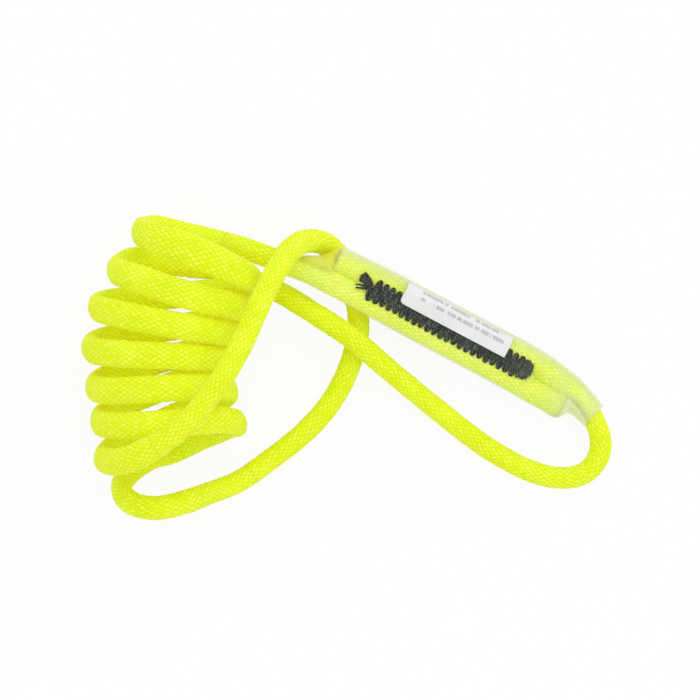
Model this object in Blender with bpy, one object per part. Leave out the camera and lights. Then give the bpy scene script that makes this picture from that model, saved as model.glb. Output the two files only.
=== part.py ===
# Prusik loop: one length of 5.5 mm kernmantle cord whose two ends lie side by side,
# sewn through with black thread, marked with a label and held in a clear shrunk sleeve.
# It lies on a table, wound up as it is for a friction hitch: both strands go round
# together in upright turns, so the windings are a helix with two starts.
# Sizes are in millimetres and become metres where an object is made.
# +X runs towards the sleeve's far end, +Y across the table, +Z up from the table.

import math

import bmesh
import bpy
import numpy as np
from mathutils import Matrix, Vector

MM = 0.001

# Cord
CORD_DIAMETER = 5.5
SHEATH_WALL = 0.85
PIECE_GAP = 0.3
FREE_STEP = 13.0
BEND_STEP = 22.0
POINTS_PER_TURN = 24
COIL_FLAT = 0.1 * CORD_DIAMETER

# Splice: the cords' ends are pressed flatter where they are sewn
LEG_WIDTH = 5.9
LEG_THICKNESS = 4.0
FUSED_TIP_LENGTH = 0.9
STITCH_THREAD = 0.7
STITCH_PITCH = 1.9
STITCH_COUNT = 26
STITCH_WIDTH = 6.2
STITCH_START = 2.4
LABEL_LENGTH = 30.8
LABEL_THICKNESS = 0.15
LABEL_START = 12.6
LABEL_FRONT_EDGE = 0.6
LABEL_BACK_EDGE = -1.5
SLEEVE_WALL = 0.35

# Where the splice lies: its middle line passes over the bight at this place
SPLICE_PLACE = (1.8, 22.1)
SPLICE_BEARING = 27.8

# The splice's own frame has u along it and v across it, from the same place.
# Each leg's middle line is a list chosen by hand: the lower runs from its cut end to the
# sleeve's near end, and the upper from the sleeve's far end to its cut end.
LEG_OFFSET = (LEG_WIDTH + PIECE_GAP) / 2
LOWER_LEG = [(63.0, -LEG_OFFSET - 0.6), (57.0, -LEG_OFFSET - 0.2), (50.0, -LEG_OFFSET), (15.0, -LEG_OFFSET),
             (-5.0, -LEG_OFFSET), (-10.5, -LEG_OFFSET - 0.3), (-16.0, -LEG_OFFSET - 0.95)]
UPPER_LEG = [(70.8, -1.25), (69.3, 0.1), (67.3, 1.3), (64.6, 2.25), (61.0, LEG_OFFSET - 0.15),
             (56.0, LEG_OFFSET), (30.0, LEG_OFFSET), (10.0, LEG_OFFSET), (-7.0, LEG_OFFSET)]
BIGHT_REACH = 8.0

# Windings: middle of each turn's left and right side, and the turns' height
LEFT_SIDES = [(-52.6, 34.1), (-58.7, 24.6), (-63.4, 15.3), (-65.1, 5.1),
              (-64.2, -4.9), (-63.0, -13.5), (-61.9, -22.9)]
RIGHT_SIDES = [(-23.6, 22.0), (-25.7, 15.9), (-27.6, 9.8), (-29.0, 3.4), (-30.0, -5.4), (-27.7, -14.8)]
TURN_HEIGHT = 35.6
AXIS_HEIGHT = CORD_DIAMETER / 2 - COIL_FLAT + TURN_HEIGHT / 2

# Free stretches: x, y and z of the cord's middle line, chosen by hand
SHORT_LEAD = [(-24.2, 29.9, 11.0), (-28.6, 31.4, 7.6)]
INTO_FIRST_TURN = [(-33.0, 32.5, 4.3), (-37.4, 33.6, 2.5), (-41.8, 34.6, 2.2), (-45.9, 35.3, 3.9),
                   (-49.6, 35.7, 8.2), (-51.9, 35.1, 13.8)]
OUT_OF_LAST_TURN = [(-61.1, -23.4, 27.2), (-58.6, -23.7, 33.4), (-54.5, -23.0, 38.6),
                    (-49.8, -20.9, 41.9)]
BIGHT = [(-44.6, -17.8, 43.7), (-38.8, -13.0, 44.3), (-34.5, -7.8, 44.0),
         (-30.5, -2.2, 43.1), (-26.9, 4.0, 41.7), (-24.0, 10.3, 39.4), (-21.7, 15.8, 36.5),
         (-19.2, 21.4, 31.6), (-16.9, 25.8, 26.6), (-15.1, 28.8, 22.0), (-12.7, 31.3, 16.8),
         (-9.2, 32.8, 11.0), (-5.4, 32.2, 6.5), (-2.3, 29.6, 4.0), (-0.2, 25.8, 3.05),
         (1.4, 21.0, 2.8), (2.7, 15.2, 2.8), (2.9, 9.8, 2.8), (1.7, 4.3, 2.8), (-0.3, -1.2, 2.8),
         (-3.5, -7.4, 2.8), (-8.3, -13.6, 2.85), (-14.6, -19.8, 3.2), (-21.8, -25.4, 4.3)]
INTO_EIGHTH_TURN = [(-28.6, -29.8, 6.8), (-34.9, -31.8, 10.8), (-39.6, -33.7, 16.5), (-44.0, -34.8, 20.8),
                    (-49.1, -35.1, 22.1), (-54.0, -34.4, 20.8), (-57.3, -32.8, 17.9), (-59.0, -30.3, 13.2),
                    (-57.8, -28.0, 7.7), (-54.6, -25.7, 4.1), (-51.0, -23.8, 2.5), (-45.6, -21.9, 2.2),
                    (-39.2, -18.9, 3.2), (-33.4, -16.8, 6.8), (-29.4, -15.4, 12.6)]
OUT_OF_SECOND_TURN = [(-58.3, 25.6, 14.4), (-56.2, 26.6, 9.8), (-52.4, 27.2, 5.8), (-47.4, 27.3, 3.2),
                      (-42.6, 27.2, 2.35), (-38.4, 27.0, 2.6)]
LONG_LEAD = [(-33.8, 26.5, 3.0), (-25.8, 24.2, 3.1), (-17.2, 19.9, 4.4), (-9.3, 14.7, 6.9),
             (-1.8, 9.5, 8.6), (2.9, 6.0, 8.75), (9.8, 0.1, 6.9), (17.6, -6.4, 4.3), (25.5, -12.8, 3.0),
             (33.2, -18.8, 2.8), (41.0, -23.9, 2.8), (48.8, -27.5, 2.8), (56.0, -28.9, 2.8),
             (61.3, -27.8, 2.8), (64.7, -24.5, 2.8), (65.9, -20.6, 2.8)]

# The origin is on the table under the middle of the whole part
ORIGIN_SHIFT = (-0.46, -0.34)


def clear_scene():
    for item in list(bpy.data.objects):
        bpy.data.objects.remove(item, do_unlink=True)


def make_material(name, colour, roughness, alpha=1.0):
    material = bpy.data.materials.new(name)
    material.use_nodes = True
    shader = material.node_tree.nodes["Principled BSDF"]
    shader.inputs["Base Color"].default_value = (*colour, 1.0)
    shader.inputs["Roughness"].default_value = roughness
    shader.inputs["Metallic"].default_value = 0.0
    shader.inputs["Alpha"].default_value = alpha
    return material


def smooth_curve(knots, points):
    # Natural cubic spline through the points, as a function of the knots' parameter
    knots, points = np.asarray(knots, float), np.asarray(points, float)
    count, spans = len(knots), np.diff(knots)
    matrix, right = np.zeros((count, count)), np.zeros(points.shape)
    matrix[0, 0] = matrix[-1, -1] = 1.0
    slopes = np.diff(points, axis=0) / spans[:, None]
    for i in range(1, count - 1):
        matrix[i, i - 1:i + 2] = spans[i - 1], 2 * (spans[i - 1] + spans[i]), spans[i]
        right[i] = 6 * (slopes[i] - slopes[i - 1])
    bends = np.linalg.solve(matrix, right)

    def place(at):
        i = int(np.clip(np.searchsorted(knots, at) - 1, 0, count - 2))
        before, after, span = at - knots[i], knots[i + 1] - at, spans[i]
        cubic = (bends[i] * after ** 3 + bends[i + 1] * before ** 3) / (6 * span)
        start = (points[i] / span - bends[i] * span / 6) * after
        end = (points[i + 1] / span - bends[i + 1] * span / 6) * before
        return cubic + start + end

    return place


def chord_knots(points):
    steps = np.linalg.norm(np.diff(np.asarray(points, float), axis=0), axis=1)
    return np.concatenate([[0.0], np.cumsum(steps)])


# Splice frame


def leg_depth(u):
    # Half a leg's thickness: pressed flat where it is sewn, round again where it leaves
    near, far = LOWER_LEG[-1][0], UPPER_LEG[0][0]
    stitch_end = STITCH_START + STITCH_PITCH * STITCH_COUNT
    places = [near + 3, STITCH_START - 5, stitch_end + 5, far - 3]
    round_cord, pressed = CORD_DIAMETER / 2, LEG_THICKNESS / 2
    return float(np.interp(u, places, [round_cord, pressed, pressed, round_cord]))


def stitch_height():
    return LEG_THICKNESS / 2 + PIECE_GAP + STITCH_THREAD / 2


def label_height():
    return stitch_height() + STITCH_THREAD / 2 + PIECE_GAP


def sleeve_depth(u):
    # Half the sleeve's thickness: it is shrunk over the cords, then the thread, then the label
    bare = leg_depth(u) + PIECE_GAP + SLEEVE_WALL
    sewn = stitch_height() + STITCH_THREAD / 2 + PIECE_GAP + SLEEVE_WALL
    labelled = sewn + LABEL_THICKNESS + PIECE_GAP
    stitch_end = STITCH_START + STITCH_PITCH * STITCH_COUNT
    label_end = LABEL_START + LABEL_LENGTH
    ramp = 3.0
    places = [STITCH_START - ramp, STITCH_START - 1, LABEL_START - ramp, LABEL_START - 1,
              label_end + 1, label_end + ramp, stitch_end + 1, stitch_end + ramp]
    depths = [bare, sewn, sewn, labelled, labelled, sewn, sewn, bare]
    return float(np.interp(u, places, depths))


def splice_height():
    # The sewn part of the sleeve rests on the bight, and its far end on the table
    over_bight = CORD_DIAMETER + 2 * PIECE_GAP + sleeve_depth(STITCH_START)
    far = UPPER_LEG[0][0]
    return (over_bight - BIGHT_REACH / far * sleeve_depth(far)) / (1 - BIGHT_REACH / far)


def splice_tilt():
    far = UPPER_LEG[0][0]
    return math.asin((splice_height() - sleeve_depth(far)) / far)


def splice_frame():
    bearing, tilt = math.radians(SPLICE_BEARING), splice_tilt()
    turn = Matrix.Rotation(-bearing, 4, "Z") @ Matrix.Rotation(tilt, 4, "Y")
    return Matrix.Translation((*SPLICE_PLACE, splice_height())) @ turn


def on_table(u, v, n=0.0):
    return tuple(splice_frame() @ Vector((u, v, n)))


# Cord's route


def coil_place():
    # Strands pass left side, top, right side and bottom; turn 1 and turn 2 start the two strands
    lefts = smooth_curve(range(1, len(LEFT_SIDES) + 1), LEFT_SIDES)
    rights = smooth_curve(range(1, len(RIGHT_SIDES) + 1), RIGHT_SIDES)

    def place(start, along):
        bend = start + 2 * along
        swing = (1 - math.cos(2 * math.pi * along)) / 2
        x, y = lefts(bend) * (1 - swing) + rights(bend - 1) * swing
        return x, y, AXIS_HEIGHT + TURN_HEIGHT / 2 * math.sin(2 * math.pi * along)

    return place


def strand(start, turns):
    place = coil_place()
    steps = round(turns * POINTS_PER_TURN / 2)
    return [place(start, turns * k / steps) for k in range(steps + 1)]


def run_on(route, further):
    # A point a cord's diameter beyond the end of the leg's route, in line with it
    (u1, v1), (u0, v0) = route[0 if further > 0 else -1], route[1 if further > 0 else -2]
    length = math.hypot(u1 - u0, v1 - v0)
    return on_table(u1 + (u1 - u0) / length * CORD_DIAMETER, v1 + (v1 - v0) / length * CORD_DIAMETER)


def cord_stretches():
    # The whole cord in order, from the lower leg's tip to the upper leg's
    return [
        ("splice_lower", [on_table(u, v) for u, v in LOWER_LEG]),
        ("short_lead", [run_on(LOWER_LEG, -1)] + SHORT_LEAD),
        ("winding_one", INTO_FIRST_TURN + strand(1, 3.0) + OUT_OF_LAST_TURN),
        ("bight", BIGHT),
        ("winding_two", INTO_EIGHTH_TURN + strand(2, 2.5)[::-1] + OUT_OF_SECOND_TURN),
        ("long_lead", LONG_LEAD + [run_on(UPPER_LEG, 1)]),
        ("splice_upper", [on_table(u, v) for u, v in UPPER_LEG]),
    ]


def cord_route():
    # One smooth curve through the whole cord, and where each stretch ends along it
    points, ends = [], {}
    for name, stretch in cord_stretches():
        first = len(points)
        points += stretch
        ends[name] = (first, len(points) - 1)
    knots = chord_knots(points)
    curve = smooth_curve(knots, points)
    legs = ("splice_lower", "splice_upper")
    bounds = {}
    names = list(ends)
    for name in names[1:-1]:
        before, after = names[names.index(name) - 1], names[names.index(name) + 1]
        start = knots[ends[before][1]] if before in legs else cut_between(knots, ends, before, name)
        end = knots[ends[after][0]] if after in legs else cut_between(knots, ends, name, after)
        bounds[name] = (start, end)
    return curve, bounds


def cut_between(knots, ends, before, after):
    return (knots[ends[before][1]] + knots[ends[after][0]]) / 2


def even_places(curve, start, end, step):
    # Points spread by length, and closer where the cord bends
    ats = np.linspace(start, end, 400)
    runs = np.diff([curve(at) for at in ats], axis=0)
    lengths = np.linalg.norm(runs, axis=1)
    turns = np.degrees(np.arccos(np.clip(np.sum(runs[1:] * runs[:-1], axis=1)
                                         / (lengths[1:] * lengths[:-1]), -1, 1)))
    shares = lengths / step + np.append(turns, 0.0) / BEND_STEP
    total = np.concatenate([[0.0], np.cumsum(shares)])
    count = max(2, round(total[-1]))
    return np.interp(np.linspace(0, total[-1], count + 1), total, ats)


def stretch_points(curve, bounds, step):
    # Points along a stretch, whose end runs are straight for one diameter
    start, end = bounds
    lead = 0.5
    straight = PIECE_GAP / 2 + CORD_DIAMETER
    first, last = curve(start), curve(end)
    out = (curve(start + lead) - first) / np.linalg.norm(curve(start + lead) - first)
    back = (curve(end - lead) - last) / np.linalg.norm(curve(end - lead) - last)
    inner = [curve(at) for at in even_places(curve, start + straight, end - straight, step)[1:-1]]
    ends = [first + out * PIECE_GAP / 2, first + out * straight]
    tail = [last + back * straight, last + back * PIECE_GAP / 2]
    return ends + inner + tail


# Solids


def tube_mesh(name, points, radius, sides_level, pressed=False):
    # A capped tube along the points; a leg of the splice is pressed flatter
    curve = bpy.data.curves.new(name, "CURVE")
    curve.dimensions = "3D"
    curve.bevel_depth = radius * MM
    curve.bevel_resolution = sides_level
    curve.use_fill_caps = True
    spline = curve.splines.new("POLY")
    spline.points.add(len(points) - 1)
    for point, place in zip(spline.points, points):
        point.co = (*(Vector(place) * MM), 1.0)
    holder = bpy.data.objects.new(name, curve)
    bpy.context.collection.objects.link(holder)
    mesh = bpy.data.meshes.new_from_object(holder.evaluated_get(bpy.context.evaluated_depsgraph_get()))
    bpy.data.objects.remove(holder)
    bpy.data.curves.remove(curve)
    shape = bmesh.new()
    shape.from_mesh(mesh)
    bmesh.ops.remove_doubles(shape, verts=shape.verts, dist=0.001 * MM)
    if pressed:
        for vert in shape.verts:
            vert.co.z *= leg_depth(vert.co.x / MM) / (LEG_WIDTH / 2)
    bmesh.ops.recalc_face_normals(shape, faces=shape.faces)
    shape.to_mesh(mesh)
    shape.free()
    return mesh


def make_object(name, mesh, material, parent=None):
    mesh.materials.clear()
    mesh.materials.append(material)
    mesh.shade_smooth()
    mesh.set_sharp_from_angle(angle=math.radians(50))
    item = bpy.data.objects.new(name, mesh)
    bpy.context.collection.objects.link(item)
    item.parent = parent
    return item


def make_cutter(name, mesh, parent=None):
    cutter = bpy.data.objects.new(name, mesh)
    bpy.context.collection.objects.link(cutter)
    cutter.parent = parent
    cutter.hide_render = True
    cutter.display_type = "WIRE"
    return cutter


def cut_away(item, cutter):
    boolean = item.modifiers.new(cutter.name, "BOOLEAN")
    boolean.operation = "DIFFERENCE"
    boolean.solver = "EXACT"
    boolean.object = cutter


def longer(points, extra):
    # The same route, run on past both ends
    first, second = np.array(points[0]), np.array(points[1])
    last, before = np.array(points[-1]), np.array(points[-2])
    start = first + (first - second) / np.linalg.norm(first - second) * extra
    end = last + (last - before) / np.linalg.norm(last - before) * extra
    return [start] + list(points) + [end]


def floor_cutter(parent):
    box = bmesh.new()
    bmesh.ops.create_cube(box, size=1.0)
    size = (200 * MM, 200 * MM, 20 * MM)
    bmesh.ops.scale(box, vec=size, verts=box.verts)
    bmesh.ops.translate(box, vec=(0, 0, -size[2] / 2), verts=box.verts)
    mesh = bpy.data.meshes.new("table_cut")
    box.to_mesh(mesh)
    box.free()
    return make_cutter("table_cut", mesh, parent)


def make_cord_piece(name, points, radius, level, materials, parent, floor=None, pressed=False):
    # Sheath with its bore, and the core that runs through it
    bore = radius - SHEATH_WALL
    sheath = make_object(f"sheath_{name}", tube_mesh(name, points, radius, level, pressed),
                         materials["sheath"], parent)
    hollow = tube_mesh(f"bore_{name}", longer(points, 1.0), bore, level, pressed)
    cut_away(sheath, make_cutter(f"bore_{name}", hollow, parent))
    core = make_object(f"core_{name}", tube_mesh(name, points, bore - PIECE_GAP, level, pressed),
                       materials["core"], parent)
    if floor:
        cut_away(sheath, floor)
        cut_away(core, floor)


def leg_points(route):
    knots = chord_knots(route)
    curve = smooth_curve(knots, route)
    flat = [curve(at) for at in even_places(curve, 0.0, knots[-1], FREE_STEP)]
    return [Vector((u, v, 0.0)) for u, v in flat]


def trimmed(points, at_start, at_end):
    first = points[0] + (points[1] - points[0]).normalized() * at_start
    last = points[-1] + (points[-2] - points[-1]).normalized() * at_end
    return [first] + points[1:-1] + [last]


def make_splice_cords(materials, parent):
    room = FUSED_TIP_LENGTH + PIECE_GAP
    lower = trimmed(leg_points(LOWER_LEG), room, PIECE_GAP / 2)
    upper = trimmed(leg_points(UPPER_LEG), PIECE_GAP / 2, room)
    make_cord_piece("splice_lower", lower, LEG_WIDTH / 2, 2, materials, parent, pressed=True)
    make_cord_piece("splice_upper", upper, LEG_WIDTH / 2, 2, materials, parent, pressed=True)
    make_fused_tip("fused_tip_lower", LOWER_LEG[0], 1, materials["tip"], parent)
    make_fused_tip("fused_tip_upper", UPPER_LEG[-1], -1, materials["tip"], parent)


def make_fused_tip(name, place, outward, material, parent):
    # Where the cord was cut hot, sheath and core melt into one rounded cap
    cap = bmesh.new()
    bmesh.ops.create_cone(cap, cap_ends=True, segments=16, radius1=LEG_WIDTH / 2 * MM,
                          radius2=LEG_WIDTH / 2 * 0.82 * MM, depth=FUSED_TIP_LENGTH * MM)
    turn = Matrix.Rotation(outward * math.pi / 2, 4, "Y")
    bmesh.ops.transform(cap, matrix=turn, verts=cap.verts)
    bmesh.ops.scale(cap, vec=(1, 1, 2 * leg_depth(place[0]) / LEG_WIDTH), verts=cap.verts)
    middle = place[0] - outward * FUSED_TIP_LENGTH / 2
    bmesh.ops.translate(cap, vec=(middle * MM, place[1] * MM, 0), verts=cap.verts)
    bmesh.ops.recalc_face_normals(cap, faces=cap.faces)
    mesh = bpy.data.meshes.new(name)
    cap.to_mesh(mesh)
    cap.free()
    make_object(name, mesh, material, parent)


def stitch_points(height):
    # Rows run to and fro across both cords, joined by a round lobe at each side
    row_gap = STITCH_PITCH / 2
    half = STITCH_WIDTH / 2 - STITCH_THREAD / 2
    straight = half - row_gap / 2
    points = []
    for row in range(2 * STITCH_COUNT):
        u = STITCH_START + row_gap * (row + 0.5)
        side = 1 if row % 2 == 0 else -1
        points.append((u, -side * straight, height))
        points.append((u, side * straight, height))
        if row < 2 * STITCH_COUNT - 1:
            points.append((u + row_gap / 2, side * half, height))
    return points


def make_stitching(materials, parent):
    # The needle's thread shows on the front, the bobbin's on the back
    for name, height in (("needle_thread", stitch_height()), ("bobbin_thread", -stitch_height())):
        mesh = tube_mesh(name, stitch_points(height), STITCH_THREAD / 2, 0)
        make_object(name, mesh, materials["thread"], parent)


def oblong_arc(half_width, half_height, start_edge, end_edge, steps):
    # Section points from the front face, round the upper edge and back along the back face
    middle = half_width - half_height
    arc = [(start_edge, half_height)]
    for k in range(steps + 1):
        angle = math.pi / 2 - math.pi * k / steps
        arc.append((middle + half_height * math.cos(angle), half_height * math.sin(angle)))
    return arc + [(end_edge, -half_height)]


def upper_edge_room():
    # How far the upper leg's side stands from the splice's middle line
    return LEG_OFFSET + LEG_WIDTH / 2 + PIECE_GAP


def skin_from_rings(name, outer, inner):
    # Closed wall between two lofts of rings, open at both ends
    shape = bmesh.new()
    skins = [[[shape.verts.new(Vector(p) * MM) for p in ring] for ring in loft] for loft in (outer, inner)]
    for loft in skins:
        for ring, following in zip(loft, loft[1:]):
            for k in range(len(ring)):
                after = (k + 1) % len(ring)
                shape.faces.new((ring[k], ring[after], following[after], following[k]))
    for end in (0, -1):
        out_ring, in_ring = skins[0][end], skins[1][end]
        for k in range(len(out_ring)):
            after = (k + 1) % len(out_ring)
            shape.faces.new((out_ring[k], out_ring[after], in_ring[after], in_ring[k]))
    bmesh.ops.recalc_face_normals(shape, faces=shape.faces)
    mesh = bpy.data.meshes.new(name)
    shape.to_mesh(mesh)
    shape.free()
    return mesh


def make_label(material, parent):
    # Thin sheet wrapped over the upper cord, from the front face to the back face
    inner = oblong_arc(upper_edge_room(), label_height(), LABEL_FRONT_EDGE, LABEL_BACK_EDGE, 8)
    outer = oblong_arc(upper_edge_room() + LABEL_THICKNESS, label_height() + LABEL_THICKNESS,
                       LABEL_FRONT_EDGE, LABEL_BACK_EDGE, 8)
    section = outer + inner[::-1]
    shape = bmesh.new()
    face = shape.faces.new([shape.verts.new(Vector((LABEL_START, v, n)) * MM) for v, n in section])
    grown = bmesh.ops.extrude_face_region(shape, geom=[face])
    moved = [item for item in grown["geom"] if isinstance(item, bmesh.types.BMVert)]
    bmesh.ops.translate(shape, vec=(LABEL_LENGTH * MM, 0, 0), verts=moved)
    bmesh.ops.recalc_face_normals(shape, faces=shape.faces)
    mesh = bpy.data.meshes.new("label")
    shape.to_mesh(mesh)
    shape.free()
    make_object("label", mesh, material, parent)


def leg_edge(route, u, side):
    # The place beside a leg's middle line, square to the line, at one place along the splice
    ordered = sorted(route)
    places, offsets = [p[0] for p in ordered], [p[1] for p in ordered]
    before, at, after = np.interp((u - 0.5, u, u + 0.5), places, offsets)
    along = Vector((1.0, float(after - before))).normalized()
    return u - along.y * side, float(at) + along.x * side


def sleeve_stations():
    # Each station is the lower and the upper edge of the sleeve's section, at its outer skin
    side = LEG_WIDTH / 2 + PIECE_GAP + SLEEVE_WALL
    label_side = side + LABEL_THICKNESS + PIECE_GAP
    near_cut, far_cut = UPPER_LEG[-1][0], LOWER_LEG[0][0]
    label_end = LABEL_START + LABEL_LENGTH
    stitch_end = STITCH_START + STITCH_PITCH * STITCH_COUNT
    # Beyond a cut end the sleeve bridges a share of the missing leg's width, in a hollow curve
    near_web = [(near_cut - LOWER_LEG[-1][0], 0.0), (5.5, 0.12), (3.0, 0.38), (1.6, 0.8)]
    far_web = [(2.2, 0.85), (3.2, 0.5), (5.0, 0.3), (UPPER_LEG[0][0] - far_cut, 0.0)]
    stations = []
    for past, share in near_web:
        edge = leg_edge(LOWER_LEG, near_cut - past, side)
        reach = (edge[0], edge[1] + share * 2 * LEG_OFFSET)
        stations.append((leg_edge(LOWER_LEG, near_cut - past, -side), reach))
    for u, upper_side in ((near_cut - 2 * PIECE_GAP, side), (STITCH_START - 3, side), (STITCH_START, side),
                          (LABEL_START - 3, side), (LABEL_START - 1, label_side),
                          ((LABEL_START + label_end) / 2, label_side), (label_end + 1, label_side),
                          (label_end + 3, side), (stitch_end + 1, side), (far_cut - 5, side),
                          (far_cut + 2 * PIECE_GAP, side)):
        stations.append((leg_edge(LOWER_LEG, u, -side), leg_edge(UPPER_LEG, u, upper_side)))
    for past, share in far_web:
        edge = leg_edge(UPPER_LEG, far_cut + past, -side)
        reach = (edge[0], edge[1] - share * 2 * LEG_OFFSET)
        stations.append((reach, leg_edge(UPPER_LEG, far_cut + past, side)))
    return stations


def oblong_ring(low, high, depth, steps=6):
    # Closed oblong section: flat front and back, half-round edges
    low, high = Vector(low), Vector(high)
    across = (high - low).normalized()
    middle, half = (low + high) / 2, (high - low).length / 2
    flat = max(half - depth, 0.0)
    ring = []
    for side in (1, -1):
        for k in range(steps + 1):
            angle = math.pi / 2 - math.pi * k / steps
            reach = side * (flat + depth * math.cos(angle)) if half > depth else side * half * math.cos(angle)
            place = middle + across * reach
            ring.append((place.x, place.y, side * depth * math.sin(angle)))
    return ring


def make_sleeve(material, parent):
    # Clear tube shrunk over both cords; beyond each cut end it closes round the other cord alone
    outer, inner = [], []
    for low, high in sleeve_stations():
        depth = sleeve_depth((low[0] + high[0]) / 2)
        across = (Vector(high) - Vector(low)).normalized() * SLEEVE_WALL
        outer.append(oblong_ring(low, high, depth))
        inner.append(oblong_ring(Vector(low) + across, Vector(high) - across, depth - SLEEVE_WALL))
    make_object("clear_sleeve", skin_from_rings("clear_sleeve", outer, inner), material, parent)


def report_gaps(curve, bounds):
    # Least room between the free stretches' surfaces, to themselves and to each other
    dense = {}
    for name, (start, end) in bounds.items():
        count = int((end - start) / 0.8)
        ats = np.linspace(start, end, count)
        dense[name] = (ats, np.array([curve(at) for at in ats]))
    for name, (ats, places) in dense.items():
        for other, (other_ats, other_places) in dense.items():
            if other < name:
                continue
            reach = np.linalg.norm(places[:, None] - other_places[None], axis=2)
            reach[np.abs(ats[:, None] - other_ats[None]) < 5 * CORD_DIAMETER] = np.inf
            print(f"least gap {name} to {other}: {reach.min() - CORD_DIAMETER:.2f} mm")


def main():
    clear_scene()
    materials = {
        "sheath": make_material("cord_sheath", (0.80, 0.93, 0.02), 0.75),
        "core": make_material("cord_core", (0.86, 0.87, 0.84), 0.8),
        "tip": make_material("fused_tip", (0.72, 0.55, 0.06), 0.45),
        "thread": make_material("stitch_thread", (0.02, 0.03, 0.03), 0.7),
        "label": make_material("label_sheet", (0.85, 0.85, 0.85), 0.5),
        "sleeve": make_material("clear_sleeve", (0.92, 0.95, 0.88), 0.25, 0.3),
    }
    base = bpy.data.objects.new("part_origin", None)
    bpy.context.collection.objects.link(base)
    base.location = (ORIGIN_SHIFT[0] * MM, ORIGIN_SHIFT[1] * MM, 0)
    splice = bpy.data.objects.new("splice_frame", None)
    bpy.context.collection.objects.link(splice)
    splice.parent = base
    frame = splice_frame()
    splice.location = frame.to_translation() * MM
    splice.rotation_euler = frame.to_euler()

    curve, bounds = cord_route()
    floor = floor_cutter(base)
    for name, (start, end) in bounds.items():
        wound = name.startswith("winding")
        points = stretch_points(curve, (start, end), FREE_STEP)
        make_cord_piece(name, points, CORD_DIAMETER / 2, 1 if wound else 2, materials, base,
                        floor if wound else None)
    make_splice_cords(materials, splice)
    make_stitching(materials, splice)
    make_label(materials["label"], splice)
    make_sleeve(materials["sleeve"], splice)
    report_gaps(curve, bounds)


main()
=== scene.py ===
import math

import bmesh
import bpy
import numpy as np
from mathutils import Matrix, Vector


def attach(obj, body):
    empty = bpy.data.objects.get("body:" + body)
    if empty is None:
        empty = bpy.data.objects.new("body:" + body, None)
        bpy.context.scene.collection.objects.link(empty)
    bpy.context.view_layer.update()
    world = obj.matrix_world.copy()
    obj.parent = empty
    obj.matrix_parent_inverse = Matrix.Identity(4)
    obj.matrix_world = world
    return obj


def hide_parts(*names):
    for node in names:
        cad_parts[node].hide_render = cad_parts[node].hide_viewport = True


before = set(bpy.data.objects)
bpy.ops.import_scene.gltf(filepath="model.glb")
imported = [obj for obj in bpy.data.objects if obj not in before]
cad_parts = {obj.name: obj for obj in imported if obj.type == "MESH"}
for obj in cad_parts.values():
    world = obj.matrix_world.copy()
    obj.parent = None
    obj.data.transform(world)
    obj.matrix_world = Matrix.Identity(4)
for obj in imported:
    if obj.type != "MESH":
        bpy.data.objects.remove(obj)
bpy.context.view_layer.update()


def metres(values):
    # Millimetres, also in nested lists, become metres
    return round(values / 1000, 8) if isinstance(values, (int, float)) else [metres(v) for v in values]


def addObject(name, data):
    made = bpy.data.objects.new(name, data)
    bpy.context.collection.objects.link(made)
    return made


# Camera straight above the table, as the photo was taken

camera = {"place": (0.00034, 0.00396, 0.85), "focalPixels": 3264.0, "imagePixels": 700.0, "sensor": 36.0,
          "clip": (0.01, 10.0)}

cameraData = bpy.data.cameras.new("photoCamera")
cameraData.sensor_width = camera["sensor"]
cameraData.lens = camera["focalPixels"] / camera["imagePixels"] * camera["sensor"]
cameraData.clip_start, cameraData.clip_end = camera["clip"]
cameraObject = addObject("photoCamera", cameraData)
cameraObject.location = camera["place"]
bpy.context.scene.camera = cameraObject


# Route of the whole cord, in millimetres: the part's points, moved a little to lie as in the photo

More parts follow.
